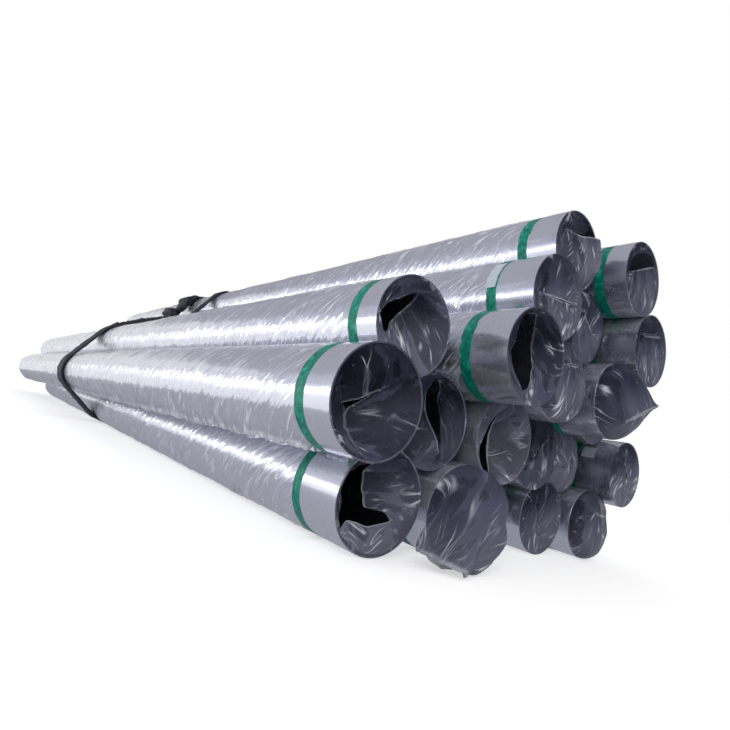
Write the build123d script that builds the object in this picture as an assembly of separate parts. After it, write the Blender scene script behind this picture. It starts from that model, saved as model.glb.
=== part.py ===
from build123d import *
import os
from math import sqrt

# A strapped bundle of thin-walled stainless pipes, each in its own clear film sleeve.
# Millimetres. X runs along the pipes with the taped mouths at +X, Y is across, Z is up.
# The bundle lies on a level floor at Z = 0, and X = Y = 0 is the middle of its length and width.

# Pipe: ten inch size with the light stainless wall, in the usual six metre stock length
pipe_outside = 273.05
pipe_wall = 4.19
pipe_length = 6000.0

# Film sleeve drawn over each pipe, open at both ends and longer than the pipe
film_clearance = 0.15
film_thickness = 0.35
film_overhang = 55.0

# Tape ring that closes the sleeve behind the mouth
tape_clearance = 0.05
tape_thickness = 0.12
tape_width = 38.0

# Flat double strap drawn round the whole bundle near mid-length
strap_clearance = 1.35
strap_thickness = 0.8
strap_width = 70.0
strap_spacing = 92.0
strap_setback = 3160.0

# Blank paper labels on two pipes, the upper one stuck over the edge of the tape and the side one on the film
label_clearance = 0.05
label_thickness = 0.4
upper_label_length = 40.0
upper_label_setback = 164.0
upper_label_arc = 45.0
upper_label_start = 45.0
side_label_length = 58.0
side_label_setback = 109.0
side_label_arc = 22.0
side_label_start = 51.0

# Stack: the films of pipes that rest on each other stay this far apart, and the rows have spread sideways
stack_gap = 0.45
row_spread_share = 1.075

# Rows from the floor up: place of the first pipe, in places along the row from the first pipe on the floor
first_place_shares = [0.0, -0.5, 0.0, 1.5, 2.0]
# How far each mouth stands out from the common line, pipe by pipe along the row
mouth_stagger_lengths = [
    [-40.0, -30.0, -190.0, -135.0, -110.0],
    [55.0, -60.0, -30.0, -105.0, -190.0, -45.0],
    [-50.0, 135.0, 35.0, 75.0, -140.0],
    [75.0, -15.0, 120.0],
    [20.0, 120.0],
]

# How far the middle of each tape ring lies behind the mouth
tape_setback_lengths = [
    [180.0, 126.0, 124.0, 150.0, 130.0],
    [118.0, 122.0, 130.0, 120.0, 124.0, 174.0],
    [98.0, 142.0, 102.0, 172.0, 124.0],
    [156.0, 118.0, 172.0],
    [132.0, 100.0],
]

# The strap is slack enough to dip between the low rows and the peak: rows from this share of the stack up
peak_row_share = 0.6

# The outer pipes of rows two and three have rolled out and down at their far ends, here in pitches
rolled_pipes = ["row_2_pipe_1", "row_3_pipe_1"]
rolled_out_share = 0.55
rolled_down_share = 0.31

upper_label_pipe = "row_4_pipe_1"
side_label_pipe = "row_2_pipe_6"

pipe_radius = pipe_outside / 2
bore_radius = pipe_radius - pipe_wall
film_inner_radius = pipe_radius + film_clearance
film_outer_radius = film_inner_radius + film_thickness
tape_inner_radius = film_outer_radius + tape_clearance
tape_outer_radius = tape_inner_radius + tape_thickness
upper_label_radius = tape_outer_radius + label_clearance
side_label_radius = film_outer_radius + label_clearance
strap_inner_radius = film_outer_radius + strap_clearance
strap_outer_radius = strap_inner_radius + strap_thickness

pitch = 2 * film_outer_radius + stack_gap
place_step = pitch * row_spread_share
row_rise = sqrt(pitch**2 - (place_step / 2) ** 2)
rolled_out = rolled_out_share * pitch
rolled_down = rolled_down_share * pitch
all_staggers = [stagger for row in mouth_stagger_lengths for stagger in row]
length_middle = (max(all_staggers) + min(all_staggers) - pipe_length) / 2
# A rolled pipe starts to lean at the front of its film, and leans on to the back of it
lean_start_share = film_overhang / pipe_length
lean_end_share = 1 + 2 * lean_start_share
last_places = [first + len(row) - 1 for first, row in zip(first_place_shares, mouth_stagger_lengths)]
left_side = min(first_place_shares) * place_step - rolled_out * lean_end_share - film_outer_radius
right_side = max(last_places) * place_step + strap_outer_radius
width_middle = (left_side + right_side) / 2


def mouth_plane(name, row, place):
    """Plane on a pipe's mouth, facing back along the pipe: its stagger, its place and the row's height."""
    out, down = (rolled_out, rolled_down) if name in rolled_pipes else (0, 0)
    along = mouth_stagger_lengths[row][place] - length_middle
    across = (first_place_shares[row] + place) * place_step - width_middle - out * lean_start_share
    height = strap_outer_radius + row * row_rise - down * lean_start_share
    return Plane(origin=(along, across, height), x_dir=(0, 1, 0), z_dir=(-pipe_length, -out, -down))


def tube(mouth, outer_radius, inner_radius, setback, length):
    """A round tube on a pipe's axis, starting `setback` behind the mouth and running back over `length`."""
    ring = Circle(outer_radius) - Circle(inner_radius)
    return extrude(mouth.offset(setback) * ring, amount=length)


def pipe(mouth):
    return tube(mouth, pipe_radius, bore_radius, 0, pipe_length)


def film_sleeve(mouth):
    return tube(mouth, film_outer_radius, film_inner_radius, -film_overhang, pipe_length + 2 * film_overhang)


def tape_ring(mouth, setback):
    return tube(mouth, tape_outer_radius, tape_inner_radius, setback - tape_width / 2, tape_width)


def label(mouth, inner_radius, setback, length, start, arc):
    """A paper label bent round a pipe, `start` degrees over the top and running down over `arc`."""
    turned_axis = Axis(mouth.origin, (1, 0, 0))
    section = Plane(origin=mouth.origin - Vector(setback, 0, 0), x_dir=(1, 0, 0), z_dir=(0, -1, 0))
    strip = Pos(0, inner_radius + label_thickness / 2) * Rectangle(length, label_thickness)
    bent = revolve(section * strip, axis=turned_axis, revolution_arc=arc)
    return bent.rotate(turned_axis, start)


def centre_at(mouth, along):
    """Where a pipe's axis passes the section at `along`."""
    return mouth.origin + mouth.z_dir * ((along - mouth.origin.X) / mouth.z_dir.X)


def tight_outline(mouths, along, radius):
    """The tight line round some pipes' sections: arcs on the outer pipes and straight runs between them."""
    centres = [centre_at(mouth, along) for mouth in mouths]
    with BuildSketch(Plane.YZ) as outline:
        with Locations(*[(centre.Y, centre.Z) for centre in centres]):
            Circle(radius)
        make_hull()
    return outline.sketch


def wrap_outline(mouths, along, radius):
    """The strap's line: tight round the low rows and round the peak with the pipes that carry it."""
    heights = [mouth.origin.Z for mouth in mouths]
    peak_height = min(heights) + peak_row_share * (max(heights) - min(heights))
    low = [mouth for mouth in mouths if mouth.origin.Z < peak_height]
    peak = [mouth for mouth in mouths if mouth.origin.Z >= peak_height]
    peak_left = min(mouth.origin.Y for mouth in peak)
    carrying = [mouth for mouth in low if mouth.origin.Y > peak_left]
    return tight_outline(low, along, radius) + tight_outline(peak + carrying, along, radius)


def strap_strand(mouths, middle):
    """One flat strand of the strap, drawn round the stack."""
    outside = wrap_outline(mouths, middle, strap_outer_radius)
    inside = wrap_outline(mouths, middle, strap_inner_radius)
    return Pos(middle - strap_width / 2, 0, 0) * extrude(outside - inside, amount=strap_width, dir=(1, 0, 0))


os.makedirs("parts", exist_ok=True)
mouths = {}
tape_rings = []
for row, staggers in enumerate(mouth_stagger_lengths):
    names = [f"row_{row + 1}_pipe_{place + 1}" for place in range(len(staggers))]
    row_mouths = {name: mouth_plane(name, row, place) for place, name in enumerate(names)}
    for name, mouth in row_mouths.items():
        export_step(pipe(mouth), f"parts/{name}.step")
    sleeves = Compound(children=[film_sleeve(mouth) for mouth in row_mouths.values()])
    export_step(sleeves, f"parts/row_{row + 1}_film_sleeves.step")
    tape_rings += [tape_ring(mouth, back) for mouth, back in zip(row_mouths.values(), tape_setback_lengths[row])]
    mouths.update(row_mouths)

export_step(Compound(children=tape_rings), "parts/tape_rings.step")

strap_middle = -length_middle - strap_setback
strand_middles = [strap_middle - strap_spacing / 2, strap_middle + strap_spacing / 2]
strands = [strap_strand(list(mouths.values()), middle) for middle in strand_middles]
export_step(Compound(children=strands), "parts/bundle_strap.step")

upper_label = label(
    mouths[upper_label_pipe],
    upper_label_radius,
    upper_label_setback,
    upper_label_length,
    upper_label_start,
    upper_label_arc,
)
side_label = label(
    mouths[side_label_pipe],
    side_label_radius,
    side_label_setback,
    side_label_length,
    side_label_start,
    side_label_arc,
)
export_step(Compound(children=[upper_label, side_label]), "parts/pipe_labels.step")
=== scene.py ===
# %% [markdown]
# # A strapped bundle of film-wrapped steel pipes
# Twenty-one thin-walled stainless pipes lie in five rows on a floor, each in its own clear film sleeve.
# A green tape ring holds each sleeve behind the mouth, and a black double strap is drawn round the stack.
# The solids give every size. Blender adds what a solid can't show well: wrinkled film, wound tape, a knotted strap
# and the finish of the steel. We start by loading the solids.

from math import cos, pi, radians, sin

import bpy
import numpy as np
from mathutils import Matrix, Vector


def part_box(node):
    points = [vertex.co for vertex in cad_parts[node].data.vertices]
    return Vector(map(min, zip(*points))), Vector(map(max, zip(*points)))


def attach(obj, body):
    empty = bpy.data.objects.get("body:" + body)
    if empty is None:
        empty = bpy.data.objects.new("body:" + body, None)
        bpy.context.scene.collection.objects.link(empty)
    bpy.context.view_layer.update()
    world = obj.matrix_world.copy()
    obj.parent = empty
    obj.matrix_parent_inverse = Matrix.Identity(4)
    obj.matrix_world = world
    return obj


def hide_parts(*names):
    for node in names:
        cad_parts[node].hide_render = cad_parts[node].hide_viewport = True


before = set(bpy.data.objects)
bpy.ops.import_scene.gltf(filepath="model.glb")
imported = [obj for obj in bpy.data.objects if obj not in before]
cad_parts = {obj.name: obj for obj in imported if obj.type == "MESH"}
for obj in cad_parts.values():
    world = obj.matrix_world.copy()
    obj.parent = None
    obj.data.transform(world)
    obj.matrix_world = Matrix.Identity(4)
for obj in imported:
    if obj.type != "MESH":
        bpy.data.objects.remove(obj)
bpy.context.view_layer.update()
print("solids loaded:", len(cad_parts), "nodes")

# %% [markdown]
# ## Where each pipe lies
# Every later piece follows a pipe, so we read each pipe's mouth and direction from its own solid. A pipe's
# points form one ring at the mouth and one at the far end. The middle of each ring is on the axis, also for the
# two outer pipes that have rolled a little sideways. Reading the solids keeps the two models in step.

# %% Read the pipes' axes
ROW_COUNTS = [5, 6, 5, 3, 2]
PIPES = [f"row_{row + 1}_pipe_{place + 1}" for row, count in enumerate(ROW_COUNTS) for place in range(count)]
PIPE_RADIUS = 0.136525


class PipeAxis:
    """A pipe's mouth centre, its backward direction, its length and two directions across it."""

    def __init__(self, name):
        points = np.array([v.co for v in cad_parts[name].data.vertices])
        middle = (points[:, 0].min() + points[:, 0].max()) / 2
        front, back = points[points[:, 0] > middle], points[points[:, 0] <= middle]
        self.name = name
        self.mouth = (front.min(0) + front.max(0)) / 2
        run = (back.min(0) + back.max(0)) / 2 - self.mouth
        self.length = float(np.linalg.norm(run))
        self.back = run / self.length
        self.right = np.cross(self.back, [0.0, 0.0, 1.0])
        self.right /= np.linalg.norm(self.right)
        self.up = np.cross(self.right, self.back)

    def at(self, along):
        """The axis point in the section that stands at X = along."""
        return self.mouth + self.back * ((along - self.mouth[0]) / self.back[0])

    def outward(self, angles):
        """Directions out from the axis, at angles from the top towards the left."""
        return np.cos(angles)[:, None] * self.up - np.sin(angles)[:, None] * self.right


AXES = {name: PipeAxis(name) for name in PIPES}
print("first pipe's mouth:", AXES["row_1_pipe_1"].mouth.round(3), "right:", AXES["row_1_pipe_1"].right.round(3))

# %% [markdown]
# ## The camera
# The photograph is taken from low down beside the mouths, with a wide lens and the camera tilted a little to one
# side. We set its place and its three directions directly, because a tilted camera is easier to write as a
# matrix than as angles. The small sideways shift stands for the way the picture was cut.

# %% Set the camera
PICTURE = 730
FOCAL_PIXELS = 495.1177
LENS_COLUMN = 395
SENSOR_WIDTH = 36
FURTHEST_SEEN = 100
FIRST_MOUTH_BACK = 0.040
EYE_AHEAD, EYE_LEFT, EYE_UP = 3.367724, 3.088697, 0.521896
YAW, PITCH, ROLL = radians(39.5962), radians(9.0935), radians(-12.3813)

camera_data = bpy.data.cameras.new("camera")
camera = bpy.data.objects.new("camera", camera_data)
bpy.context.scene.collection.objects.link(camera)
first_mouth = AXES["row_1_pipe_1"].mouth
pipe_outside = 2 * PIPE_RADIUS
eye = Vector((
    first_mouth[0] + FIRST_MOUTH_BACK + EYE_AHEAD * pipe_outside,
    first_mouth[1] - EYE_LEFT * pipe_outside,
    first_mouth[2] + EYE_UP * pipe_outside,
))
level_right = Vector((sin(YAW), cos(YAW), 0))
forward = Vector((-cos(YAW) * cos(PITCH), sin(YAW) * cos(PITCH), sin(PITCH)))
level_down = forward.cross(level_right)
camera_right = cos(ROLL) * level_right + sin(ROLL) * level_down
camera_down = -sin(ROLL) * level_right + cos(ROLL) * level_down
turn = Matrix((camera_right, -camera_down, -forward)).transposed().to_4x4()
camera.matrix_world = Matrix.Translation(eye) @ turn
camera_data.sensor_width = SENSOR_WIDTH
camera_data.lens = SENSOR_WIDTH * FOCAL_PIXELS / PICTURE
camera_data.shift_x = (PICTURE / 2 - LENS_COLUMN) / PICTURE
camera_data.clip_end = FURTHEST_SEEN
bpy.context.scene.camera = camera
print("camera at", tuple(round(v, 3) for v in eye))

# %% [markdown]
# ## Helpers for materials and meshes
# A node material is a small network. These helpers add a node, set its sockets by name or number and link it, so
# each finish below reads as a short recipe. The last two turn points and faces into an object and dress it.

# %% Node helpers


class Nodes:
    """A node tree, with short ways to add nodes, set their sockets and link them."""

    def __init__(self, tree):
        self.tree = tree

    def set(self, node, sockets):
        for key, value in sockets.items():
            socket = node.inputs[key]
            if isinstance(value, bpy.types.NodeSocket):
                self.tree.links.new(value, socket)
            else:
                socket.default_value = value

    def add(self, kind, settings=None, **sockets):
        node = self.tree.nodes.new("ShaderNode" + kind)
        for key, value in (settings or {}).items():
            setattr(node, key, value)
        self.set(node, sockets)
        return node

    def coords(self, source="Object", scale=(1, 1, 1)):
        place = self.add("TexCoord")
        return self.add("Mapping", Vector=place.outputs[source], Scale=scale).outputs[0]

    def noise(self, vector, scale, detail=2.0, roughness=0.5, distortion=0.0):
        sockets = {"Vector": vector, "Scale": scale, "Detail": detail, "Roughness": roughness}
        return self.add("TexNoise", **sockets, Distortion=distortion).outputs["Fac"]

    def mark(self, name):
        """A value that the mesh carries at each point."""
        return self.add("Attribute", {"attribute_name": name}).outputs["Fac"]

    def ramp(self, factor, stops):
        node = self.add("ValToRGB", Fac=factor)
        band = node.color_ramp
        while len(band.elements) < len(stops):
            band.elements.new(0.5)
        for element, (where, colour) in zip(band.elements, stops):
            element.position = where
            element.color = (*colour, 1)
        return node.outputs["Color"]

    def span(self, factor, low, high, start=0.0, end=1.0):
        """Maps start to end onto low to high, and holds the value beyond them."""
        sockets = {"Value": factor, "From Min": start, "From Max": end, "To Min": low, "To Max": high}
        return self.add("MapRange", **sockets).outputs[0]

    def maths(self, how, first, second=0.0):
        node = self.add("Math", {"operation": how})
        self.set(node, {0: first, 1: second})
        return node.outputs[0]

    def times(self, first, second):
        return self.maths("MULTIPLY", first, second)

    def plus(self, first, second):
        return self.maths("ADD", first, second)

    def most(self, first, second):
        return self.maths("MAXIMUM", first, second)

    def rest_of(self, value):
        return self.maths("SUBTRACT", 1.0, value)

    def bump(self, height, strength, distance):
        return self.add("Bump", Height=height, Strength=strength, Distance=distance).outputs[0]


class Finish(Nodes):
    """A new node material with its principled shader."""

    def __init__(self, name, **sockets):
        self.material = bpy.data.materials.new(name)
        self.material.use_nodes = True
        super().__init__(self.material.node_tree)
        self.shader = self.tree.nodes["Principled BSDF"]
        self.set(self.shader, sockets)


print("node helpers ready")

# %% Mesh helpers


def add_piece(name, points, faces):
    """A new smooth-shaded object from points and faces."""
    mesh = bpy.data.meshes.new(name)
    mesh.from_pydata(np.reshape(points, (-1, 3)).tolist(), [], np.asarray(faces).tolist())
    mesh.update()
    mesh.polygons.foreach_set("use_smooth", np.ones(len(mesh.polygons), dtype=bool))
    piece = bpy.data.objects.new(name, mesh)
    bpy.context.scene.collection.objects.link(piece)
    return piece


def grid_faces(rows, count, first_point=0):
    """Faces with four corners, between the points of an open grid."""
    index = first_point + np.arange(rows * count).reshape(rows, count)
    low, high = index[:-1], index[1:]
    return np.stack([low[:, :-1], high[:, :-1], high[:, 1:], low[:, 1:]], axis=2).reshape(-1, 4)


def dress(piece, finish):
    piece.data.materials.clear()
    piece.data.materials.append(finish.material)


print("mesh helpers ready")

# %% [markdown]
# ## Steel
# The pipes are rolled from stainless strip and polished round and round, so their shine is soft and a little
# streaked across the length. A metal shader with fine streaks in its roughness does this. The streaks run round
# the pipe, so the noise is stretched: quick along X and slow across it.

# %% Make the steel finish
steel = Finish("polished_pipe_steel", Metallic=1.0, **{"Specular IOR Level": 0.5})
streaks = steel.noise(steel.coords(scale=(1, 0.02, 0.02)), 420, 3, 0.6)
cloud = steel.noise(steel.coords(scale=(0.5, 1, 1)), 9, 4, 0.6)
steel_mix = steel.plus(steel.times(streaks, 0.45), steel.times(cloud, 0.55))
steel_colour = steel.ramp(steel_mix, [(0.3, (0.51, 0.515, 0.60)), (0.7, (0.67, 0.675, 0.775))])
steel.set(steel.shader, {
    "Base Color": steel_colour,
    "Roughness": steel.span(steel_mix, 0.20, 0.36, 0.3, 0.7),
    "Normal": steel.bump(streaks, 0.12, 0.0006),
})
for name in PIPES:
    dress(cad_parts[name], steel)
print("steel on", len(PIPES), "pipes")

# %% [markdown]
# ## Noise for film
# The film has to crease in the mesh itself. We need a noise that closes on itself round a pipe and can run at a
# slant, as wrinkles in a dragged sleeve do. A lattice of fixed pseudo-random values, smoothed between, is enough.
# The lattice wraps after a whole number of cells, and each turn round the pipe shifts it by whole rows.

# %% Wrapped noise


def lattice(i, j, seed):
    """A fixed value from 0 to 1 for each lattice corner."""
    mixed = (i * 374761393 + j * 668265263 + seed * 974634541) & 0xFFFFFFFF
    mixed = ((mixed ^ (mixed >> 13)) * 1274126177) & 0xFFFFFFFF
    return ((mixed ^ (mixed >> 16)) & 0xFFFF) / 65535.0


def wrapped_noise(across, along, cells, shift, seed):
    """Smooth noise. across runs from 0 to 1 round the pipe, along is in cells, shift is in rows a turn."""
    a = across * cells
    b = along + shift * across
    i, j = np.floor(a).astype(np.int64), np.floor(b).astype(np.int64)
    u, v = a - i, b - j
    u, v = u * u * (3 - 2 * u), v * v * (3 - 2 * v)

    def corner(di, dj):
        column = i + di
        turns = column // cells
        return lattice(column - turns * cells, j + dj - shift * turns, seed)

    low = corner(0, 0) * (1 - u) + corner(1, 0) * u
    high = corner(0, 1) * (1 - u) + corner(1, 1) * u
    return low * (1 - v) + high * v


def ridge(value, sharpness):
    """Turns smooth noise into narrow crests."""
    return (1 - np.abs(2 * value - 1)) ** sharpness


def smooth_step(value, low, high):
    part = np.clip((value - low) / (high - low), 0, 1)
    return part * part * (3 - 2 * part)


print("noise at a corner:", round(float(lattice(np.int64(3), np.int64(5), 1)), 3))

# %% [markdown]
# ## What holds the film down
# A sleeve lies flat wherever something presses on it: a neighbour, the floor, the tape or the strap. We find these
# from the solids. Angles start at the top of a pipe and go round to the left, here and below.

# %% Find the tape, the strap and the neighbours
TURN = 2 * pi
TAPE_OFF_STEEL, TAPE_TOLERANCE = 0.0006, 0.0003
TOUCHING_RADII = 2.03
STRAP_ALONG = float(sum((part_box("bundle_strap")[0][0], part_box("bundle_strap")[1][0]))) / 2


def tape_back(axis):
    """How far the middle of a pipe's tape ring lies behind its mouth."""
    points = np.array([v.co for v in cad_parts["tape_rings"].data.vertices]) - axis.mouth
    behind = points @ axis.back
    off = np.linalg.norm(points - behind[:, None] * axis.back, axis=1)
    own = behind[np.abs(off - PIPE_RADIUS - TAPE_OFF_STEEL) < TAPE_TOLERANCE]
    return float(sum(np.percentile(own, [25, 75]))) / 2


def touching_directions(axis):
    """Angles at which a neighbour or the floor touches this pipe."""
    found = []
    here = axis.at(0.0)
    for other in AXES.values():
        apart = other.at(0.0) - here
        distance = float(np.hypot(apart[1], apart[2]))
        if 0 < distance < TOUCHING_RADII * PIPE_RADIUS:
            found.append(float(np.arctan2(-apart[1], apart[2])) % TURN)
    if axis.name.startswith("row_1"):
        found.append(pi)
    return found


def contact_ease(angles, directions, width):
    """1 where the film is free, falling to 0 where something presses on it."""
    ease = np.ones_like(angles)
    for direction in directions:
        apart = np.abs((angles - direction + pi) % TURN - pi)
        ease *= smooth_step(apart, width * 0.35, width)
    return ease


TAPE_BACK = {name: tape_back(axis) for name, axis in AXES.items()}
print("strap at", round(STRAP_ALONG, 3), "m, first tape", round(TAPE_BACK["row_1_pipe_1"], 3), "m behind its mouth")

# %% [markdown]
# ## How each sleeve ends
# Past the mouth a sleeve has nothing inside it, so it slumps, folds in and creases. We describe that end by its
# hem: a few points that give where the sleeve's edge has come to rest. Each point has its angle, its place in pipe
# radii ahead of the mouth, to the right and up, and how straight the film leaves the mouth there. Some hems have
# fallen shut, and both layers of film then lie on one line.

# %% Hems that have fallen shut
LAYER_GAP = 0.012


def closed_hem(left, right, straightness):
    """Both layers on one line between two points, given as (ahead, right, up)."""
    points = []
    for degrees in range(0, 360, 45):
        share = (1 - sin(radians(degrees))) / 2
        ahead, across, height = (a + (b - a) * share for a, b in zip(left, right))
        points.append((degrees, ahead, across, height + LAYER_GAP * cos(radians(degrees)), straightness))
    return points


HEMS = {
    "row_1_pipe_2": closed_hem((0.45, -1.50, -0.70), (1.08, -0.86, -0.96), 0.42),
    "row_1_pipe_4": closed_hem((0.04, -0.40, 0.45), (0.06, -0.20, -0.50), 0.36),
    "row_1_pipe_5": closed_hem((0.34, -0.15, 0.42), (0.34, 0.42, 0.32), 0.45),
    "row_2_pipe_4": closed_hem((0.10, -0.30, -0.30), (0.12, 0.30, 0.50), 0.40),
    "row_2_pipe_5": closed_hem((0.20, 0.10, -0.20), (0.20, 0.52, 0.42), 0.32),
    "row_2_pipe_6": closed_hem((0.00, -0.20, 0.55), (0.05, 0.25, -0.35), 0.30),
    "row_3_pipe_3": closed_hem((0.18, -0.12, 0.40), (0.18, 0.42, 0.50), 0.30),
    "row_4_pipe_1": closed_hem((0.03, -0.80, -0.16), (0.20, 0.30, -0.08), 0.38),
    "row_4_pipe_2": closed_hem((0.26, -0.30, 0.30), (0.26, 0.22, -0.10), 0.36),
    "row_4_pipe_3": closed_hem((0.03, -0.85, 0.25), (0.06, 0.36, 0.52), 0.38),
}
HEMS["row_1_pipe_3"] = HEMS["row_3_pipe_5"] = HEMS["row_2_pipe_4"]
print("closed hems:", len(HEMS))

# %% [markdown]
# The other sleeves stay open: a flap hangs in, and beside it the dark bore shows. No two fell the same way, so each
# has its own list of (degrees, ahead, right, up, straightness). At the far end all sleeves share one plain hem.

# %% Hems that stay open
HEMS.update({
    "row_1_pipe_1": [
        (0, 0.04, -0.43, 0.65, 0.25), (45, 0.03, -0.83, 0.49, 0.3), (85, 0.02, -1, -0.02, 0.3),
        (125, 0.05, -0.8, -0.5, 0.4), (150, 0.28, -0.89, -0.31, 0.7), (178, 0.34, -0.46, -0.39, 0.75),
        (205, 0.42, 0, -0.2, 0.7), (232, 0.25, -0.18, -0.13, 0.45), (258, 0, -0.36, -0.1, 0.3),
        (282, -0.1, -0.4, 0.12, 0.25), (306, -0.12, -0.45, 0.36, 0.25), (332, -0.05, -0.5, 0.57, 0.25),
    ],
    "row_2_pipe_1": [
        (0, 0.16, -0.20, 0.15, 0.4), (40, 0.1, -0.47, -0.03, 0.35), (75, 0.03, -0.75, -0.19, 0.3),
        (105, 0.05, -0.73, -0.30, 0.3), (130, 0.2, -0.57, -0.66, 0.5), (150, 0.35, -0.34, -0.95, 0.6),
        (185, -0.05, -0.20, -0.84, 0.3), (230, -0.3, -0.36, -0.52, 0.2), (275, -0.35, -0.38, -0.22, 0.2),
        (320, -0.1, -0.10, 0.10, 0.3),
    ],
    "row_2_pipe_2": [
        (0, -0.15, -0.02, 0.85, 0.25), (60, -0.05, -0.3, 0.53, 0.3), (100, 0.25, -0.51, 0.12, 0.5),
        (125, 0.35, -0.16, -0.36, 0.6), (150, 0.2, 0.12, -0.58, 0.5), (180, -0.2, 0.57, -0.46, 0.3),
        (210, -0.35, 0.6, -0.11, 0.25), (240, -0.4, 0.48, 0.26, 0.25), (270, -0.3, 0.26, 0.53, 0.25),
        (310, -0.25, 0.23, 0.77, 0.25),
    ],
    "row_2_pipe_3": [
        (0, -0.1, -0.08, 0.74, 0.25), (50, -0.1, -0.54, 0.25, 0.3), (90, -0.05, -0.78, -0.34, 0.3),
        (130, -0.05, -0.44, -0.91, 0.3), (165, -0.1, -0.04, -1.06, 0.3), (200, -0.25, -0.09, -0.73, 0.3),
        (240, -0.35, -0.13, -0.4, 0.3), (280, -0.35, -0.2, -0.06, 0.3), (320, -0.25, -0.23, 0.36, 0.3),
    ],
    "row_3_pipe_1": [
        (0, 0.2, -0.72, 0.28, 0.4), (40, 0.1, -0.97, 0.06, 0.35), (80, -0.05, -0.91, -0.14, 0.3),
        (120, -0.4, -0.4, -0.21, 0.2), (160, -0.5, -0.26, 0.01, 0.2), (200, -0.5, -0.14, 0.19, 0.2),
        (240, -0.45, -0.02, 0.38, 0.2), (280, -0.25, 0.02, 0.57, 0.25), (320, 0.15, -0.27, 0.59, 0.4),
    ],
    "row_3_pipe_2": [
        (0, 0, -0.35, 0.81, 0.3), (40, 0, -0.71, 0.58, 0.3), (80, -0.05, -0.77, -0.09, 0.3),
        (110, 0, -0.57, -0.53, 0.3), (140, 0.02, -0.33, -0.77, 0.3), (180, -0.1, 0.04, -0.58, 0.3),
        (220, -0.3, 0.28, -0.1, 0.25), (260, -0.35, 0.23, 0.32, 0.25), (300, -0.25, 0.07, 0.71, 0.25),
        (332, 0, -0.28, 0.79, 0.3),
    ],
    "row_3_pipe_4": [
        (0, 0.8, 0.27, -0.12, 0.45), (55, 0.74, -0.37, -0.46, 0.4), (105, 0.7, -0.62, -0.62, 0.4),
        (165, 0.7, -0.21, -0.46, 0.4), (225, 0.75, 0.46, -0.11, 0.4), (278, 0.86, 0.75, 0.11, 0.45),
        (320, 0.86, 0.63, 0.06, 0.45),
    ],
    "row_5_pipe_1": [
        (0, -0.3, 0.36, 0.75, 0.2), (40, -0.25, -0.14, 0.56, 0.2), (70, -0.1, -0.61, 0.26, 0.25),
        (100, 0.1, -0.92, -0.03, 0.4), (125, 0.25, -1.03, 0.07, 0.6), (160, 0.4, -0.91, 0.01, 0.7),
        (200, 0.5, -0.71, -0.01, 0.75), (240, 0.5, -0.27, 0.16, 0.7), (270, 0.45, 0.24, 0.33, 0.6),
        (300, 0, 0.67, 0.67, 0.3), (330, -0.2, 0.64, 0.78, 0.2),
    ],
    "row_5_pipe_2": [
        (0, 0.03, -0.39, 0.62, 0.3), (40, 0.03, -0.82, 0.24, 0.3), (80, 0.03, -0.95, -0.12, 0.3),
        (120, 0.1, -0.82, -0.1, 0.4), (180, 0.2, -0.56, 0.05, 0.5), (240, 0.15, 0.04, 0.36, 0.4),
        (280, 0.05, 0.45, 0.54, 0.3), (320, 0.03, 0.22, 0.77, 0.3),
    ],
})
FAR_HEM = [
    (0, 0.34, 0.0, 0.86, 0.5), (70, 0.34, -0.88, 0.25, 0.5), (140, 0.34, -0.55, -0.75, 0.5),
    (180, 0.36, 0.0, -0.90, 0.5), (220, 0.34, 0.55, -0.72, 0.5), (290, 0.34, 0.88, 0.25, 0.5),
]
print("hems for", len(HEMS), "sleeves")

# %% [markdown]
# ## From hem to film
# The film runs from the mouth's edge to its hem, a closed curve through the hem's points. Sharp folds are pressed
# into it: zigzags in several directions add up to flat facets, as in crumpled plastic.

# %% Hem curve and folds
CURVE_PULL = 0.42
FOLD_BEND = 0.12


def hem_curve(points, angles):
    """Smooth closed curve through a hem's points: ahead, right, up and straightness for each angle."""
    points = sorted(points)
    at = np.radians([p[0] for p in points])
    values = np.array([p[1:] for p in points])
    at = np.concatenate([at[-2:] - TURN, at, at[:2] + TURN])
    values = np.concatenate([values[-2:], values, values[:2]])
    out = np.empty((len(angles), values.shape[1]))
    for n, angle in enumerate(angles % TURN):
        k = int(np.searchsorted(at, angle, side="right")) - 1
        k = min(max(k, 1), len(at) - 3)
        u = (angle - at[k]) / (at[k + 1] - at[k])
        p0, p1, p2, p3 = values[k - 1], values[k], values[k + 1], values[k + 2]
        m1, m2 = (p2 - p0) * CURVE_PULL, (p3 - p1) * CURVE_PULL
        out[n] = (
            (2 * u**3 - 3 * u**2 + 1) * p1 + (u**3 - 2 * u**2 + u) * m1
            + (-2 * u**3 + 3 * u**2) * p2 + (u**3 - u**2) * m2
        )
    return out


def folds(round_way, out_way, seed, count, longest, shortest):
    """Flat facets with sharp lines between them: a sum of slightly bent zigzags in several directions."""
    rng = np.random.default_rng(seed)
    total = np.zeros_like(round_way)
    for n in range(count):
        turned = rng.uniform(0, pi)
        size = longest * (shortest / longest) ** (n / max(count - 1, 1))
        bend_round = np.sin(round_way / size * 1.7 + rng.uniform(0, 6))
        bend_out = np.sin(out_way / size * 1.3 + rng.uniform(0, 6))
        along = (round_way * cos(turned) + out_way * sin(turned)) / size + rng.uniform(0, 6)
        along = along + FOLD_BEND * bend_round * bend_out
        total += size * (np.abs(2 * (along - np.floor(along)) - 1) - 0.5)
    return total / longest


print("first hem at the top:", hem_curve(HEMS["row_1_pipe_1"], np.zeros(1)).round(2))
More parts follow.
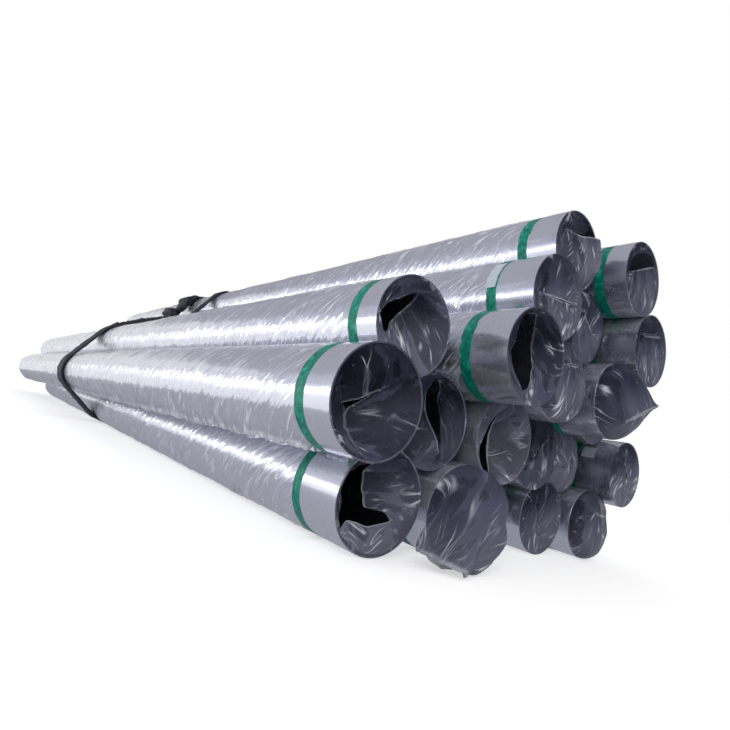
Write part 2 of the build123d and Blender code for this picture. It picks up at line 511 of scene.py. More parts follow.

# %% [markdown]
# Each end also has its own character. A bag bulges forward, and the others bend in over the pipe's wall first. Film
# gets a painted shade that makes it dark and clear, more at some ends than at others, and it is cloudy where layers of
# it lie over each other.

# %% How each end is folded, how clear it is and how much painted shade it gets
BAGS = ["row_1_pipe_2", "row_1_pipe_5", "row_2_pipe_5", "row_3_pipe_3", "row_3_pipe_4", "row_4_pipe_2"]
USUAL_CRUMPLE, FAR_CRUMPLE = 0.0065, 0.006
CRUMPLE = {
    "row_1_pipe_1": 0.012, "row_1_pipe_2": 0.020, "row_1_pipe_4": 0.003, "row_1_pipe_5": 0.004,
    "row_2_pipe_1": 0.009, "row_2_pipe_3": 0.003, "row_3_pipe_4": 0.003, "row_5_pipe_1": 0.006,
    "row_5_pipe_2": 0.003,
}
# facets: how many directions, and the longest and the shortest facet
USUAL_FACETS = (4, 0.15, 0.05)
FACETS = {"row_1_pipe_1": (3, 0.17, 0.08), "row_1_pipe_2": (3, 0.21, 0.10)}
# each end's shift of its painted shade: more makes its film darker and clearer, less makes it paler and hazier
CLEARER_WITH_PAINTED_SHADE = {
    "row_1_pipe_1": -0.2, "row_1_pipe_4": 0.1, "row_2_pipe_1": 0.45, "row_2_pipe_2": 0.25, "row_2_pipe_3": -0.4,
    "row_2_pipe_4": 0.4, "row_2_pipe_5": -0.25, "row_2_pipe_6": -0.1, "row_3_pipe_1": -0.1, "row_3_pipe_2": 0.35,
    "row_3_pipe_4": 0.35, "row_4_pipe_2": 0.3, "row_4_pipe_3": 0.15, "row_5_pipe_1": -0.2, "row_5_pipe_2": 0.15,
}
CLOUDY = {"row_1_pipe_2": 0.22, "row_3_pipe_4": 0.34}
print("bags:", len(BAGS), "of", len(PIPES), "ends")

# %% Film from a pipe's edge to its hem
FILM_GAP = 0.0004
FILM_RADIUS = PIPE_RADIUS + FILM_GAP
SEAM = radians(-160)
INSIDE_WALL = 0.0062
OVER_WALL = (0.002, 0.003, 0.0015)


def film_end(axis, angles, hem, rows, edge_ring, outward_way, edge_centre, crumple, seed, turned_in=False):
    """Rows of points from the edge outwards. Film that is turned in bends over the pipe's wall first."""
    curve = hem_curve(hem, angles)
    end = (edge_centre + outward_way * (curve[:, :1] * PIPE_RADIUS)
           + axis.right * (curve[:, 1:2] * PIPE_RADIUS) + axis.up * (curve[:, 2:3] * PIPE_RADIUS))
    turns = []
    if turned_in:
        inside = edge_centre + (edge_ring - edge_centre) * ((PIPE_RADIUS - INSIDE_WALL) / FILM_RADIUS)
        steps = (edge_ring, (edge_ring + inside) / 2, inside)
        turns = [step + outward_way * ahead for step, ahead in zip(steps, OVER_WALL)]
        edge_ring = turns[-1]
    # a curve with two handles: one at the edge, by the hem's straightness, and one short of the hem
    reach = np.linalg.norm(end - edge_ring, axis=1)[:, None]
    if turned_in:
        lead = edge_ring + (end - edge_ring) * 0.3 + outward_way * reach * (curve[:, 3:4] - 0.3) * 0.7
        last = end + (edge_ring - end) * 0.3 + outward_way * reach * 0.04
    else:
        lead = edge_ring + outward_way * reach * curve[:, 3:4]
        last = end + (edge_ring - end) * 0.3 + outward_way * reach * 0.12
    shares = (np.arange(1, rows + 1) / rows)[:, None, None]
    grid = ((1 - shares) ** 3 * edge_ring + 3 * (1 - shares) ** 2 * shares * lead
            + 3 * (1 - shares) * shares**2 * last + shares**3 * end)
    # the folds are pressed in along the film's own normal, and fade out at the edge and at the seam
    around = np.broadcast_to(angles * PIPE_RADIUS, grid.shape[:2])
    outward = np.broadcast_to(shares[:, :, 0] * reach[:, 0], grid.shape[:2])
    whole = np.concatenate([edge_ring[None], grid])
    normal = np.cross(np.gradient(whole, axis=1), np.gradient(whole, axis=0))
    normal /= np.maximum(np.linalg.norm(normal, axis=2, keepdims=True), 1e-9)
    pressed = folds(around, outward, seed, *FACETS.get(axis.name, USUAL_FACETS))
    seam_ease = smooth_step(np.minimum(angles - SEAM, SEAM + TURN - angles), 0.0, 0.25)[None, :]
    lift = crumple * pressed * smooth_step(shares[:, :, 0], 0.0, 0.35) * seam_ease
    grid = grid + normal[1:] * lift[:, :, None]
    return np.concatenate([np.array(turns), grid]) if turns else grid


print("film lies", FILM_GAP * 1000, "mm off the steel")

# %% [markdown]
# ## Film along the pipe
# Film dragged over a pipe gathers in slanted wrinkles that lift it a few millimetres. They are crests of the wrapped
# noise, fine and broad ones together. One slack sleeve also hangs under its pipe in a soft, bunched fold.

# %% Wrinkles along the pipe
TAPE_HALF = 0.019
FINE_STEP, FINE_LIFT = 0.021, 0.0028
BROAD_STEP, BROAD_LIFT = 0.055, 0.0034
PATCH_STEP = 0.16
PRESSED_WIDTH = radians(20)
LABELLED, LABEL_BACK = "row_2_pipe_6", 0.109
SLACK, SLACK_LIFT = "row_2_pipe_1", 0.015


def wrinkle_lift(axis, angles, behind, seed):
    """How far the film stands off the pipe, for each place along it and each angle round it."""
    across, along = np.meshgrid(angles / TURN, behind)
    tape_at = TAPE_BACK[axis.name]
    fine = ridge(wrapped_noise(across, along / FINE_STEP, 11, -40, seed), 1.6)
    broad = ridge(wrapped_noise(across, along / BROAD_STEP, 7, -8, seed + 50), 1.2)
    patches = smooth_step(wrapped_noise(across, along / PATCH_STEP, 6, 1, seed + 90), 0.25, 0.7)
    ease = contact_ease(angles, touching_directions(axis), PRESSED_WIDTH)[None, :]
    near_tape = smooth_step(np.abs(along - tape_at), TAPE_HALF, TAPE_HALF + 0.05)
    near_tape = np.where(along < tape_at, near_tape * 0.22, near_tape)
    strap_back = float((STRAP_ALONG - axis.mouth[0]) / axis.back[0])
    near_strap = smooth_step(np.abs(along - strap_back), 0.09, 0.17)
    free = ease * near_tape * near_strap * smooth_step(along, 0.0, 0.02)
    lift = free * (FINE_LIFT * fine * (0.35 + 0.65 * patches) + BROAD_LIFT * broad * patches)
    if axis.name == LABELLED:
        lift *= smooth_step(np.abs(along - LABEL_BACK), 0.03, 0.06)
    if axis.name == SLACK:
        under = np.exp(-((np.degrees(angles)[None, :] - 160) / 12) ** 2)
        soft_waves = wrapped_noise(across, along / 0.05, 9, -12, seed + 7)
        sharp_waves = ridge(wrapped_noise(across, along / 0.024, 15, -25, seed + 8), 1.3)
        behind_tape = smooth_step(along, tape_at - 0.08, tape_at + 0.08)
        bunch = under * (soft_waves * 0.7 + sharp_waves * 0.5) * near_tape * near_strap * behind_tape
        lift = lift + SLACK_LIFT * bunch
    return lift


print("wrinkles lift the film up to", round(1000 * (FINE_LIFT + BROAD_LIFT), 1), "mm")

# %% [markdown]
# ## Film finish: wrinkles
# Clear film shows the steel and adds a thin mirror of its own, with a painted highlight along its creases. The finish
# works on the unrolled sleeve, a UV map in metres. A noise turned to the wrinkles' slant and then stretched gives long
# streaks, and where it passes one level the crests are painted white: painted highlights. The same noise bends the
# light as bump.

# %% Make the body's wrinkles
film = Finish("clear_sleeve_film")
sleeve_place = film.coords("UV")


def drawn_out(degrees, scale):
    """The unrolled sleeve turned by an angle and then stretched, so that noise on it runs in streaks."""
    turned = film.add("Mapping", Vector=sleeve_place, Rotation=(0, 0, radians(degrees))).outputs[0]
    return film.add("Mapping", Vector=turned, Scale=scale).outputs[0]


def level_lines(field, level, core, edge):
    """White lines where a noise passes a level, solid within core of it and gone beyond edge."""
    apart = film.maths("ABSOLUTE", film.maths("SUBTRACT", field, level))
    return film.span(apart, 1.0, 0.0, core, edge)


body_only, end_only = film.mark("wrinkled"), film.mark("creased")
on_body = film.times(body_only, film.rest_of(end_only))
wrinkle = film.noise(drawn_out(-47, (6.5, 50, 1)), 1.0, 1.6, 0.5, 0.35)
patch = film.noise(sleeve_place, 10, 2, 0.5)
# painted highlight: thin white lines along the wrinkles' crests, in patches
crest_highlight = film.times(level_lines(wrinkle, 0.56, 0.004, 0.050), film.span(patch, 0.15, 1.0, 0.38, 0.62))
# painted highlight: the slack sleeve's bunched fold, where the wrinkled mark is above 1, is painted white
bunched_highlight = film.times(film.span(body_only, 0.0, 0.8, 1.2, 1.9), film.span(wrinkle, 0.15, 1.0, 0.42, 0.58))
crest_highlight = film.times(film.most(crest_highlight, bunched_highlight), on_body)
print("wrinkle nodes:", len(film.tree.nodes))

# %% [markdown]
# ## Film finish: creases at the ends
# A crumpled end gets painted highlights: thin white creases that run out from the rim and small white glints, and a
# pale edge along its hem. Two families of creases run steeply. Two more lean left or right where the film is slack,
# each in its own patches.

# %% Make the ends' creases
# the painted shade mark: how much painted shade the film gets, set on each point further down
hem_edge, painted_shade, cloudy = film.mark("hem"), film.mark("painted_shade"), film.mark("cloudy")


def crease_family(degrees, scale, width):
    """A noise drawn out one way, and the thin lines along its middle level."""
    field = film.noise(drawn_out(degrees, scale), 1.0, 1.0, 0.4, 0.3)
    return field, level_lines(field, 0.5, 0.002, width)


steep_field, steep_lines = crease_family(74, (6, 30, 1), 0.042)
cross_field, cross_lines = crease_family(112, (5, 21, 1), 0.034)
left_lines = crease_family(40, (4, 32, 1), 0.022)[1]
right_lines = crease_family(142, (4, 32, 1), 0.022)[1]
steep_patch = film.span(film.noise(sleeve_place, 12, 1, 0.5), 0.0, 1.0, 0.55, 0.75)
slack_patch = film.noise(sleeve_place, 13, 1, 0.5)
left_lines = film.times(left_lines, film.span(slack_patch, 0.0, 0.8, 0.55, 0.66))
right_lines = film.times(right_lines, film.span(slack_patch, 0.8, 0.0, 0.34, 0.45))
slack_lines = film.times(film.most(left_lines, right_lines), film.span(painted_shade, 1.0, 0.15, 0.0, 0.6))
# painted glints: small white dots
glint = film.span(film.noise(sleeve_place, 75, 1, 0.5), 0.0, 0.8, 0.76, 0.82)
# painted highlight along the crease lines, in patches, with the glints, the slack lines and the pale hem edge
crease_highlight = film.most(film.times(film.most(steep_lines, cross_lines), steep_patch), glint)
crease_highlight = film.most(film.most(crease_highlight, slack_lines), film.times(hem_edge, 0.35))
crease_highlight = film.times(crease_highlight, end_only)
print("with creases:", len(film.tree.nodes))

# %% [markdown]
# ## Film finish: clear and cloudy
# We mix the film's own surface with see-through by the alpha socket: low on flat film, higher at a glancing angle,
# on the painted highlights and where it is hazy. At the ends its colour falls with the painted shade from pale to a
# dark blue grey, and the painted highlights are pale and not metallic.

# %% Put the film finish together
END_RELIEF = 0.55
body_relief = film.times(wrinkle, on_body)
end_relief = film.times(film.plus(steep_field, cross_field), film.times(end_only, END_RELIEF))
film_bump = film.bump(film.plus(body_relief, end_relief), 0.75, 0.007)
# painted highlights: the white crests and creases, which also make the film less see-through
painted_highlights = film.most(crease_highlight, crest_highlight)
glance = film.add("Fresnel", IOR=1.5, Normal=film_bump).outputs[0]
haze = film.times(end_only, film.plus(film.span(painted_shade, 0.40, 0.12), cloudy))
haze_and_highlights = film.plus(film.times(painted_highlights, 0.5), haze)
dull = film.times(end_only, film.rest_of(painted_highlights))
# painted shade: the ends' colour darkens with the painted shade mark, over a random mottle, to a dark blue grey
mottle = film.span(film.noise(sleeve_place, 8, 2, 0.5), 0.69, 0.80, 0.32, 0.68)
shadowed = film.times(dull, film.plus(mottle, film.times(painted_shade, 0.26)))
film_colour = film.ramp(shadowed, [
    (0.10, (0.80, 0.82, 0.90)),
    (0.66, (0.186, 0.184, 0.248)),
    (0.86, (0.092, 0.096, 0.148)),
    (1.00, (0.026, 0.030, 0.056)),
])
film.set(film.shader, {
    "Base Color": film_colour,
    "Metallic": film.span(film.most(end_only, painted_highlights), 0.7, 0.0),
    "Roughness": film.span(end_only, 0.13, 0.30),
    "Specular IOR Level": film.span(end_only, 0.5, 0.14),
    "Alpha": film.plus(film.span(glance, 0.12, 0.6, 0.04, 0.8), haze_and_highlights),
    "Normal": film_bump,
})
print("film finish made, with", len(film.tree.nodes), "nodes")

# %% [markdown]
# ## Marks for the finish
# Each point of the mesh carries five marks for the finish: how wrinkled the film is, whether it is past the mouth,
# whether it is at the hem, how much painted shade it gets, and how cloudy it is.

# %% Marks on the film
RIM_WIDTH = 0.004


def film_marks(axis, grid, angles, behind):
    """The five marks for each point of a sleeve's grid. behind is the distance behind the mouth of each row."""
    name, tape_at = axis.name, TAPE_BACK[axis.name]
    behind = behind[:, None]
    wrinkled = smooth_step(behind, tape_at, tape_at + 0.06) * 0.94 + 0.06
    # the slack fold is marked above 1: a stronger bump there, and a painted highlight on it in the finish
    if name == SLACK:
        wrinkled = wrinkled * (1 + 1.3 * np.exp(-((np.degrees(angles)[None, :] - 162) / 13) ** 2))
    across = (grid - axis.mouth) @ axis.right / PIPE_RADIUS
    height = (grid - axis.mouth) @ axis.up / PIPE_RADIUS
    # painted shade: darker towards the top and the left of each mouth, and less in the bags
    painted_shade = smooth_step(height * 0.85 - across * 0.35, -0.45, 0.85) * (0.7 if name in BAGS else 1.0)
    return {
        "wrinkled": wrinkled,
        "creased": smooth_step(-behind, 0.0, RIM_WIDTH),
        "hem": np.arange(len(grid))[:, None] >= len(grid) - 2,
        "painted_shade": np.clip(painted_shade + CLEARER_WITH_PAINTED_SHADE.get(name, 0.0), -0.2, 1.0),
        "cloudy": CLOUDY.get(name, 0.0),
    }


def film_piece(axis, grid, angles, behind, pattern_shift):
    """A film object from a grid of points, with its two long edges left unjoined, its unrolled map and its marks."""
    shape = grid.shape[:2]
    piece = add_piece(f"film_{axis.name}", grid, grid_faces(*shape))
    mesh = piece.data
    unrolled = np.stack(np.meshgrid(angles * PIPE_RADIUS, behind), axis=2).reshape(-1, 2) + pattern_shift
    corners = np.empty(len(mesh.loops), dtype=np.int64)
    mesh.loops.foreach_get("vertex_index", corners)
    mesh.uv_layers.new(name="unrolled").data.foreach_set("uv", unrolled[corners].ravel())
    for mark, values in film_marks(axis, grid, angles, behind).items():
        spread = np.broadcast_to(values, shape).astype(float)
        mesh.attributes.new(mark, "FLOAT", "POINT").data.foreach_set("value", spread.ravel())
    return piece


print("film helpers ready")

# %% [markdown]
# ## Making the sleeves
# Each sleeve is one grid of points, from its far hem to its front hem. A sleeve is a lay-flat tube with one lapped
# seam, so the grid's two long edges meet underneath without being joined.

# %% Make the sleeves
ROUND_COUNT, FAR_ROWS = 96, 8
SLEEVE_LENGTH, FRONT_FILM, FAR_FILM = 6.17, 0.12, 0.055
SEEN_ALONG = [f"row_{row + 1}_pipe_1" for row in range(len(ROW_COUNTS))]
# finest and coarsest step between rows, how fast the step grows, and the rows past the mouth
SEEN_ROWS, HIDDEN_ROWS = (0.006, 0.019, 1.004, 40), (0.012, 0.11, 1.04, 34)
PATTERN_STEP = np.array([0.37, 0.53])


def spaced_back(length, finest, coarsest, growth):
    """Distances behind the mouth, close together near it and further apart towards the far end."""
    places, step = [0.0], finest
    while places[-1] < length:
        places.append(places[-1] + step)
        step = min(step * growth, coarsest)
    places = np.array(places)
    return places * (length / places[-1])


def sleeve(axis, seed):
    *spacing, front_rows = SEEN_ROWS if axis.name in SEEN_ALONG else HIDDEN_ROWS
    angles = np.linspace(SEAM, SEAM + TURN, ROUND_COUNT + 1)
    outward = axis.outward(angles)
    behind = spaced_back(axis.length, *spacing)[::-1]
    radius = FILM_RADIUS + wrinkle_lift(axis, angles, behind, seed)
    centre = axis.mouth + axis.back * behind[:, None]
    body = centre[:, None, :] + outward[None] * radius[:, :, None]
    front = film_end(
        axis, angles, HEMS[axis.name], front_rows, axis.mouth + outward * FILM_RADIUS, -axis.back, axis.mouth,
        CRUMPLE.get(axis.name, USUAL_CRUMPLE), seed, axis.name not in BAGS)
    far_centre = axis.mouth + axis.back * axis.length
    far = film_end(axis, angles, FAR_HEM, FAR_ROWS, body[0], axis.back, far_centre, FAR_CRUMPLE, seed + 7)
    all_behind = np.concatenate([
        axis.length + FAR_FILM * np.arange(FAR_ROWS, 0, -1) / FAR_ROWS,
        behind,
        -FRONT_FILM * np.arange(1, len(front) + 1) / len(front),
    ])
    grid = np.concatenate([far[::-1], body, front])
    return film_piece(axis, grid, angles, all_behind, PATTERN_STEP * seed)


SLEEVES = {}
for number, name in enumerate(PIPES):
    SLEEVES[name] = sleeve(AXES[name], 11 + 13 * number)
    dress(SLEEVES[name], film)
    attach(SLEEVES[name], "root")
for row in range(len(ROW_COUNTS)):
    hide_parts(f"row_{row + 1}_film_sleeves")
print("sleeves:", len(SLEEVES), "with", sum(len(s.data.polygons) for s in SLEEVES.values()), "faces")

# %% [markdown]
# ## Tape
# A strip of green tape is wound once round each sleeve. Its edges waver a little and its end laps over its start.
# A thin band of mesh with wavering edges shows this, where a plain ring would look machined.

# %% Make the tape's finish
tape = Finish("green_tape", Roughness=0.42, **{"Specular IOR Level": 0.25})
tape_crinkle = tape.noise(tape.coords(), 70, 4, 0.6)
tape_fleck = tape.noise(tape.coords(scale=(3, 1, 1)), 45, 2, 0.5)
tape_shade = tape.plus(tape.times(tape_crinkle, 0.6), tape.times(tape_fleck, 0.4))
tape_colour = tape.ramp(tape_shade, [
    (0.36, (0.001, 0.110, 0.076)),
    (0.54, (0.002, 0.25, 0.172)),
    (0.68, (0.04, 0.52, 0.40)),
])
tape.set(tape.shader, {"Base Color": tape_colour, "Normal": tape.bump(tape_crinkle, 0.5, 0.003)})
print("tape finish made")

# %% Wind the tape
TAPE_POINTS, TAPE_LAP = 150, 1.06
TAPE_GAP, TAPE_WAVER, TAPE_SLIP = 0.0002, 0.0009, 0.006


def tape_winding(axis, seed):
    """Rows of points from the tape's rear edge to its front edge, wound once round with a short lap."""
    rng = np.random.default_rng(seed)
    start = rng.uniform(0, TURN)
    turned = np.linspace(0, TURN * TAPE_LAP, TAPE_POINTS)
    slip = rng.uniform(-TAPE_SLIP, TAPE_SLIP) * turned / TURN
    outward = axis.outward(start + turned)
    radius = FILM_RADIUS + TAPE_GAP + TAPE_GAP * turned / TURN
    rows = []
    for side in (-1, -0.4, 0.4, 1):
        waves = [rng.uniform(-1, 1) * np.sin(turned * k + rng.uniform(0, 6)) for k in (2, 5, 9, 14)]
        back = TAPE_BACK[axis.name] - side * TAPE_HALF + sum(waves) * TAPE_WAVER * abs(side) + slip
        rows.append(axis.mouth + axis.back * back[:, None] + outward * radius[:, None])
    return np.array(rows[::-1])


windings = np.array([tape_winding(axis, 500 + number) for number, axis in enumerate(AXES.values())])
tape_rows, tape_long = windings.shape[1:3]
tape_faces = np.concatenate(
    [grid_faces(tape_rows, tape_long, number * tape_rows * tape_long) for number in range(len(windings))])
tape_piece = add_piece("tape_windings", windings, tape_faces)
dress(tape_piece, tape)
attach(tape_piece, "root")
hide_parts("tape_rings")
print("tape faces:", len(tape_faces))

# %% [markdown]
# ## The strap's line
# Two strands of dark webbing go round the stack. We find the line that a strap takes round the pipes, as the solid
# does: the furthest reach of two tight wraps, one round the low rows and one round the peak with the pipes that
# carry it.

# %% Find the strap's line
LOW_ROWS = 3
STRAP_POINTS = 900
STRAP_REACH = FILM_RADIUS + 0.0006
CENTRES = {name: axis.at(STRAP_ALONG)[1:] for name, axis in AXES.items()}
strap_middle = CENTRES["row_2_pipe_4"]
peak_left = CENTRES["row_4_pipe_1"][0]


def row_of(name):
    return int(name.split("_")[1])


def wrap_reach(centres, directions):
    """How far a tight wrap round the circles lies from the middle, in each direction."""
    sides = np.linspace(0, TURN, 1440, endpoint=False)
    normals = np.stack([np.cos(sides), np.sin(sides)], axis=1)
    support = np.max(np.array(centres) @ normals.T, axis=0) + STRAP_REACH - normals @ strap_middle
    facing = np.cos(directions[:, None] - sides[None, :])
    return np.min(np.where(facing > 0.02, support / np.maximum(facing, 0.02), 1e9), axis=1)


low = [centre for name, centre in CENTRES.items() if row_of(name) <= LOW_ROWS]
peak = [centre for name, centre in CENTRES.items() if row_of(name) > LOW_ROWS or centre[0] > peak_left]
directions = np.linspace(0, TURN, 2400, endpoint=False)
strap_reach = np.maximum(wrap_reach(low, directions), wrap_reach(peak, directions))
line = strap_middle + strap_reach[:, None] * np.stack([np.cos(directions), np.sin(directions)], axis=1)
travelled = np.concatenate([[0], np.cumsum(np.linalg.norm(np.roll(line, -1, 0) - line, axis=1))])
even = np.linspace(0, travelled[-1], STRAP_POINTS, endpoint=False)
line = np.stack([np.interp(even, travelled, np.append(line[:, k], line[0, k])) for k in (0, 1)], axis=1)
print("strap's line is", round(float(travelled[-1]), 3), "m round")

# %% [markdown]
# ## Where the strap bridges, slips and is knotted
# Between the low rows and the peak the strap doesn't follow the dip: it is drawn straight across, and it is bulky and
# knotted there and on the rise behind it. Over the peak the rear strand has slipped back. Each mark below is 1 along
# its stretch and eases to 0 at its ends.

# %% Mark the stretches of the strap
BRIDGE_BULK = 0.75


def nearest_on_line(name, degrees):
    """Index of the line's point nearest to a pipe's side, given in degrees from the top towards the left."""
    spot = CENTRES[name] + FILM_RADIUS * np.array([-sin(radians(degrees)), cos(radians(degrees))])
    return int(np.argmin(np.linalg.norm(line - spot, axis=1)))


def between(first_index, last_index, ease):
    """1 along the line from one point to another, easing in and out over some points."""
    count = np.arange(STRAP_POINTS)
    span = (last_index - first_index) % STRAP_POINTS
    after = (count - first_index) % STRAP_POINTS
    after = np.where(after > STRAP_POINTS / 2 + span / 2, after - STRAP_POINTS, after)
    return smooth_step(after, -ease, 0) * (1 - smooth_step(after, span, span + ease))


saddle = nearest_on_line("row_3_pipe_1", 10)
peak_side = nearest_on_line("row_4_pipe_1", 50)
knots_end = nearest_on_line("row_5_pipe_1", 48)
peak_top = nearest_on_line("row_5_pipe_1", 20)
upwards = -1 if (saddle - peak_top) % STRAP_POINTS < STRAP_POINTS / 2 else 1


def climbing(lower, upper, ease):
    return between(lower, upper, ease) if upwards > 0 else between(upper, lower, ease)


bridge_length = (upwards * (peak_side - saddle)) % STRAP_POINTS
bridge = (saddle + upwards * np.arange(bridge_length + 1)) % STRAP_POINTS
line[bridge] = np.linspace(line[saddle], line[peak_side], bridge_length + 1)
over_peak = climbing(peak_side, peak_top, 60)
knotted = climbing(saddle, knots_end, 10) * np.where(climbing(saddle, peak_side, 4) > 0.5, BRIDGE_BULK, 1.0)
print("the strap bridges", bridge_length, "of", STRAP_POINTS, "points")

# %% [markdown]
# ## The strands
# Each strand is a flat tube along the line, with a rough rim and thin where it lies under the bundle. The knot is two
# lumps on the rise. Webbing is a close weave, so a wave texture and a fraying noise mix three dark tones.

# %% Webbing finish and lumps
webbing = Finish("dark_webbing", Roughness=0.62)
weave_place = webbing.coords()
weave = webbing.add("TexWave", Vector=weave_place, Scale=150.0, Distortion=1.5).outputs["Fac"]
fray = webbing.noise(weave_place, 60, 4, 0.65)
webbing_shade = webbing.plus(webbing.times(weave, 0.4), webbing.times(fray, 0.6))
webbing_colour = webbing.ramp(webbing_shade, [
    (0.25, (0.007, 0.009, 0.016)),
    (0.62, (0.025, 0.031, 0.049)),
    (0.85, (0.08, 0.10, 0.15)),
])
webbing.set(webbing.shader, {"Base Color": webbing_colour, "Normal": webbing.bump(webbing_shade, 0.7, 0.004)})


def smoothed_round(values):
    """Random values smoothed along the closed line."""
    thrice = np.convolve(np.tile(values, 3), np.hanning(9) / 4, "same")
    return thrice[STRAP_POINTS:2 * STRAP_POINTS]


climb_length = (upwards * (knots_end - peak_side)) % STRAP_POINTS
climbed = (upwards * (np.arange(STRAP_POINTS) - peak_side)) % STRAP_POINTS / climb_length
knot_shape = np.exp(-((climbed - 0.16) / 0.15) ** 2) + 0.7 * np.exp(-((climbed - 0.76) / 0.17) ** 2)
snags = smoothed_round(np.random.default_rng(77).uniform(0, 1, STRAP_POINTS))
lumps = np.clip(knot_shape + (snags - 0.5) * 0.5, 0, 1)
print("webbing finish made, and a knot over", climb_length, "points")

# %% Make the strands
STRAND_SIDES = 14
STRAND_HALF_SPACING = 0.046
FLOOR_HALF_THICK = 0.0006


def strand(along, half_width, half_thick, seed):
    """A closed flat tube along the strap's line: rows of points, one row for each side of the tube."""
    ahead = np.roll(line, -3, 0) - np.roll(line, 3, 0)
    ahead /= np.linalg.norm(ahead, axis=1, keepdims=True)
    outward = np.stack([ahead[:, 1], -ahead[:, 0]], axis=1)
    outward *= np.sign(np.sum(outward * (line - strap_middle), axis=1))[:, None]
    on_floor = 1 - smooth_step(line[:, 1], 0.004, 0.05)
    half_thick = half_thick * (1 - on_floor) + FLOOR_HALF_THICK * on_floor
    ragged = 0.12 + 2.0 * np.clip(half_width - 0.05, 0, 0.1)
    rng = np.random.default_rng(seed)
    rows = []
    for angle in np.linspace(0, TURN, STRAND_SIDES, endpoint=False):
        rough = smoothed_round(rng.normal(size=STRAP_POINTS))
        wide = half_width * np.sign(cos(angle)) * abs(cos(angle)) ** 0.6 * (1 + ragged * rough)
        high = half_thick * (1 + sin(angle) * (1 + 0.25 * rough))
        rows.append(np.column_stack([along + wide, line + outward * high[:, None]]))
    return np.array(rows)


def ring_piece(name, rows):
    """An object from rows of points that close on themselves both ways."""
    count, length = rows.shape[:2]
    index = np.arange(count * length).reshape(count, length)
    beside, on = np.roll(index, -1, 0), np.roll(index, -1, 1)
    both = np.roll(beside, -1, 1)
    return add_piece(name, rows, np.stack([index, on, both, beside], axis=2).reshape(-1, 4))


front_strand = strand(
    STRAP_ALONG + STRAND_HALF_SPACING + 0.02 * over_peak,
    0.040 + 0.010 * over_peak, np.full(STRAP_POINTS, 0.0100), 5)
rear_strand = strand(
    STRAP_ALONG - STRAND_HALF_SPACING - 0.43 * over_peak,
    0.040 + knotted * (0.045 + 0.055 * lumps), 0.0105 + knotted * (0.012 + 0.026 * lumps), 6)
STRANDS = [ring_piece("strap_front_strand", front_strand), ring_piece("strap_rear_strand", rear_strand)]
for piece in STRANDS:
    dress(piece, webbing)
    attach(piece, "root")
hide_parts("bundle_strap")
print("strands:", [len(piece.data.polygons) for piece in STRANDS], "faces")

# %% [markdown]
# ## Labels
# The two labels are blank paper, already bent round their pipes in the solids. They only need a paper finish.

# %% Finish the labels
paper = Finish("label_paper", Roughness=0.55)
fibre = paper.noise(paper.coords(), 120, 4, 0.6)
paper.set(paper.shader, {"Base Color": paper.ramp(fibre, [(0.3, (0.42, 0.50, 0.58)), (0.7, (0.62, 0.68, 0.74))])})
dress(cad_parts["pipe_labels"], paper)
print("labels finished")

# %% [markdown]
# ## White surround and floor
# The bundle stands on a plain pale floor in front of white. The world and the floor look white to the camera and in
# mirrors, and give the other surfaces less light, so the steel shows its tones and the floor keeps the shadow. The
# Light Path node tells these rays apart.

# %% Set the surround and the floor
SURROUND_LIGHT = 0.6
FLOOR_GLOW, FLOOR_REACH = 0.55, 40


def seen_or_mirrored(nodes):
    """1 for a ray from the camera, from a mirror or through glass, and 0 for any other."""
    path = nodes.add("LightPath").outputs
    return nodes.most(nodes.most(path["Is Camera Ray"], path["Is Glossy Ray"]), path["Is Transmission Ray"])


world = bpy.data.worlds.new("white_surround")
bpy.context.scene.world = world
world.use_nodes = True
surround = Nodes(world.node_tree)
surround.set(world.node_tree.nodes["Background"], {
    "Color": (1, 1, 1, 1),
    "Strength": surround.span(seen_or_mirrored(surround), SURROUND_LIGHT, 1.0),
})
pale = Finish("pale_floor", Roughness=0.9, **{"Base Color": (0.8, 0.8, 0.8, 1), "Specular IOR Level": 0.1})
pale.set(pale.shader, {
    "Emission Color": (1, 1, 1, 1),
    "Emission Strength": pale.span(seen_or_mirrored(pale), 0.0, FLOOR_GLOW),
})
floor_corners = [(FLOOR_REACH * x, FLOOR_REACH * y, 0) for x, y in ((-1, -1), (1, -1), (1, 1), (-1, 1))]
floor = add_piece("floor", floor_corners, [(0, 1, 2, 3)])
dress(floor, pale)
print("floor", 2 * FLOOR_REACH, "m wide")

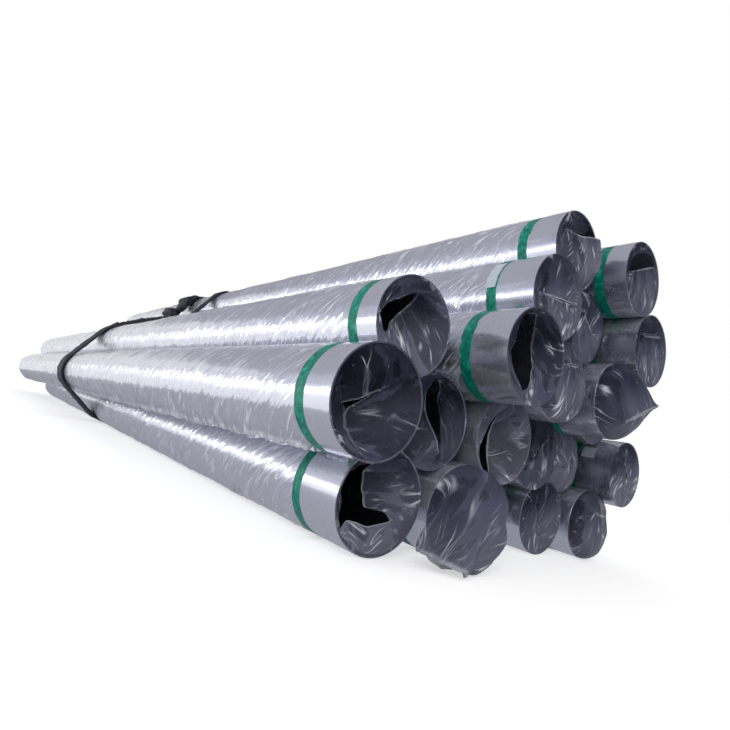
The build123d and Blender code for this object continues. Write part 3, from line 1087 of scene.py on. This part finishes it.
# %% [markdown]
# ## Cards and lamps
# Shiny steel is lit by what it mirrors, so the light is arranged as for a car in a studio. A long low lamp on the
# left makes the bright band along each pipe. Grey cards above, beside, in front and on the ground give the tops,
# mouths and undersides their darker tones, and show only in reflections. A second lamp lifts the mouths.

# %% Set the cards and the lamps
CARD_TINT = (1, 1.01, 1.13)


def card(name, corners, level):
    """A plain studio card, given by four corners, that shows only in reflections, at a fixed grey level."""
    piece = add_piece(name, corners, [(0, 1, 2, 3)])
    glow = (*(level * tint for tint in CARD_TINT), 1)
    sockets = {"Base Color": (0, 0, 0, 1), "Specular IOR Level": 0.0, "Emission Color": glow, "Emission Strength": 1.0}
    dress(piece, Finish(name, **sockets))
    piece.visible_camera = piece.visible_diffuse = piece.visible_shadow = False


def softbox(name, place, target, size, watts):
    """A flat lamp that faces its target and isn't seen itself."""
    data = bpy.data.lights.new(name, "AREA")
    data.shape = "RECTANGLE"
    data.size, data.size_y = size
    data.energy = watts
    lamp = bpy.data.objects.new(name, data)
    lamp.location = place
    lamp.rotation_euler = (Vector(target) - Vector(place)).to_track_quat("-Z", "Y").to_euler()
    bpy.context.scene.collection.objects.link(lamp)
    lamp.visible_camera = False


card("overhead_card", [(-16, -9.5, 6.0), (5, -9.5, 6.0), (5, 10, 5.5), (-16, 10, 5.5)], 0.36)
card("left_card", [(-16, -9.5, 0.01), (6, -9.5, 0.01), (6, -9.5, 6), (-16, -9.5, 6)], 0.55)
card("right_card", [(-10, 7, 0.01), (5, 7, 0.01), (5, 7, 6), (-10, 7, 6)], 0.12)
card("facing_card", [(8, -3, 0.01), (3.8, 9, 0.01), (3.8, 9, 7), (8, -3, 7)], 0.16)
card("ground_card", [(-14, -1.25, 0.0008), (4.5, -1.25, 0.0008), (4.5, 6, 0.0008), (-14, 6, 0.0008)], 0.38)
softbox("low_left_light", place=(-4.0, -8.0, 0.58), target=(-1.5, 0, 0.5), size=(16.0, 1.1), watts=185)
softbox("front_light", place=(7.0, -5.0, 4.0), target=(1.5, 0, 0.4), size=(3.0, 3.0), watts=130)
bpy.context.scene.view_settings.view_transform = "Standard"
print("cards and lamps set")
